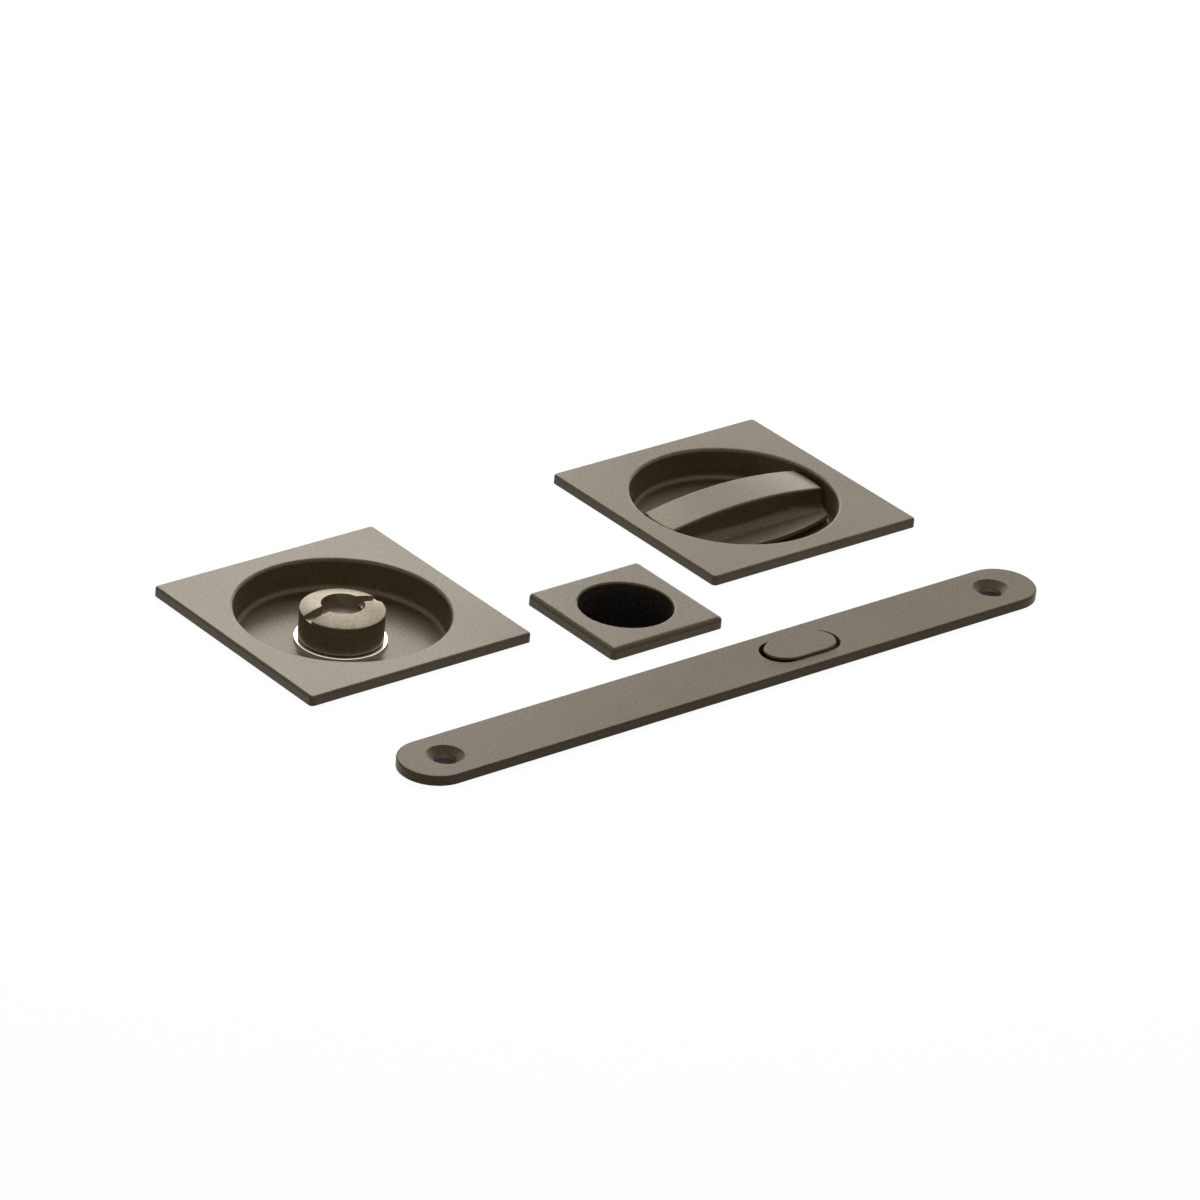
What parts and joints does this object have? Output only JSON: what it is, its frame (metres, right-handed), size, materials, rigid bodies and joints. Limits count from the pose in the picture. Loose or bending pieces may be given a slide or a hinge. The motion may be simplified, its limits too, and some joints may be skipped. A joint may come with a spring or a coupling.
{
  "type": "flush sliding door pull set",
  "caption": "Flush pulls for a sliding door: square cups with coin release and thumb turn, a square edge pull, and a hook lock behind a round-ended face plate.",
  "frame": {"origin": "middle between the two screw holes of the lock's face plate, on that plate's back face, which lies on the door edge", "axes": "+X along the face plate towards the hook, +Y towards the square pulls, +Z out of the door, away from the lock case"},
  "size_m": [0.1764, 0.1038, 0.0696],
  "materials": {
    "bronze": "satin dark bronze powder coat",
    "steel": "bright zinc plated",
    "lock_steel": "dull zinc plated",
    "polished_ring": "polished",
    "black_plastic": "fine sparked texture"
  },
  "bodies": {
    "fixed_parts": {"turn_cup": "bronze", "turn_bush": "polished_ring", "release_cup": "bronze", "release_bush": "polished_ring", "edge_bezel": "bronze", "edge_cup": "black_plastic", "face_plate": "bronze", "inner_forend": "lock_steel", "forend_screws": "steel", "lock_case": "lock_steel", "case_cover": "lock_steel", "case_screws": "steel", "hook_pivot_pin": "steel", "detent_spring": "steel"},
    "release": {"release_knob": "bronze", "release_spring_washer": "steel", "release_retaining_clip": "steel"},
    "turn": {"turn_knob": "bronze", "turn_spindle": "steel", "turn_grub_screw": "steel", "turn_spring_washer": "steel", "turn_retaining_clip": "steel"},
    "hub": {"lock_hub": "steel"},
    "hook": {"hook_bolt": "bronze"}
  },
  "joints": [
    {"name": "release_turn", "type": "hinge", "parent": "fixed_parts", "child": "release", "pos_m": [-0.0572, 0.0648, 0], "axis": [0, 0, 1], "range_deg": [0, 90]},
    {"name": "thumb_turn", "type": "hinge", "parent": "fixed_parts", "child": "turn", "pos_m": [0.0552, 0.0654, 0], "axis": [0, 0, 1], "range_deg": [0, 90]},
    {"name": "hub_turn", "type": "hinge", "parent": "fixed_parts", "child": "hub", "pos_m": [0, 0, -0.0475], "axis": [0, 1, 0], "range_deg": [0, 90]},
    {"name": "hook_swing", "type": "hinge", "parent": "fixed_parts", "child": "hook", "pos_m": [0, 0, -0.01], "axis": [0, -1, 0], "range_deg": [0, 45]}
  ],
  "couplings": [
    {"joint": "hook_swing", "follows": "hub_turn", "ratio": 0.5}
  ]
}
